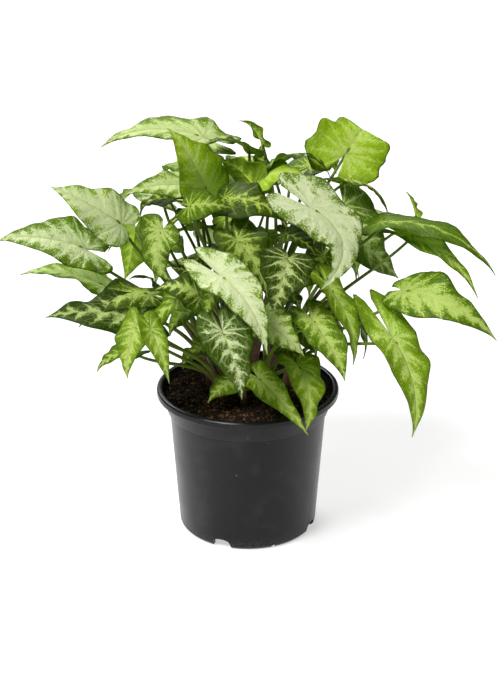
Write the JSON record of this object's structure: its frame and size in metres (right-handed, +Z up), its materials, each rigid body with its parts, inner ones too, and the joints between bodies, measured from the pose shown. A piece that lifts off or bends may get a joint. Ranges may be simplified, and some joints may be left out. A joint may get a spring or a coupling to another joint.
{
  "type": "potted arrowhead plant",
  "caption": "Young variegated arrowhead plant with arrow-shaped leaves on long petioles, growing in a round black nursery pot.",
  "frame": {"origin": "middle of the pot's foot, on the surface that it stands on", "axes": "+Z up, +X to the right and -Y to the front, where the plant is seen from"},
  "size_m": [0.3342, 0.2368, 0.2961],
  "materials": {
    "pot_plastic": "black moulded plastic, satin",
    "potting_soil": "moist peat and bark crumbs",
    "foliage": "smooth green leaf, variegated cream along the veins"
  },
  "bodies": {
    "root": {"pot": "pot_plastic", "soil": "potting_soil", "shoot_left": "foliage", "shoot_front_left": "foliage", "shoot_front": "foliage", "shoot_front_right": "foliage", "shoot_right": "foliage", "shoot_upper_right": "foliage", "shoot_middle": "foliage", "shoot_upper_left": "foliage", "shoot_back": "foliage"}
  },
  "joints": []
}
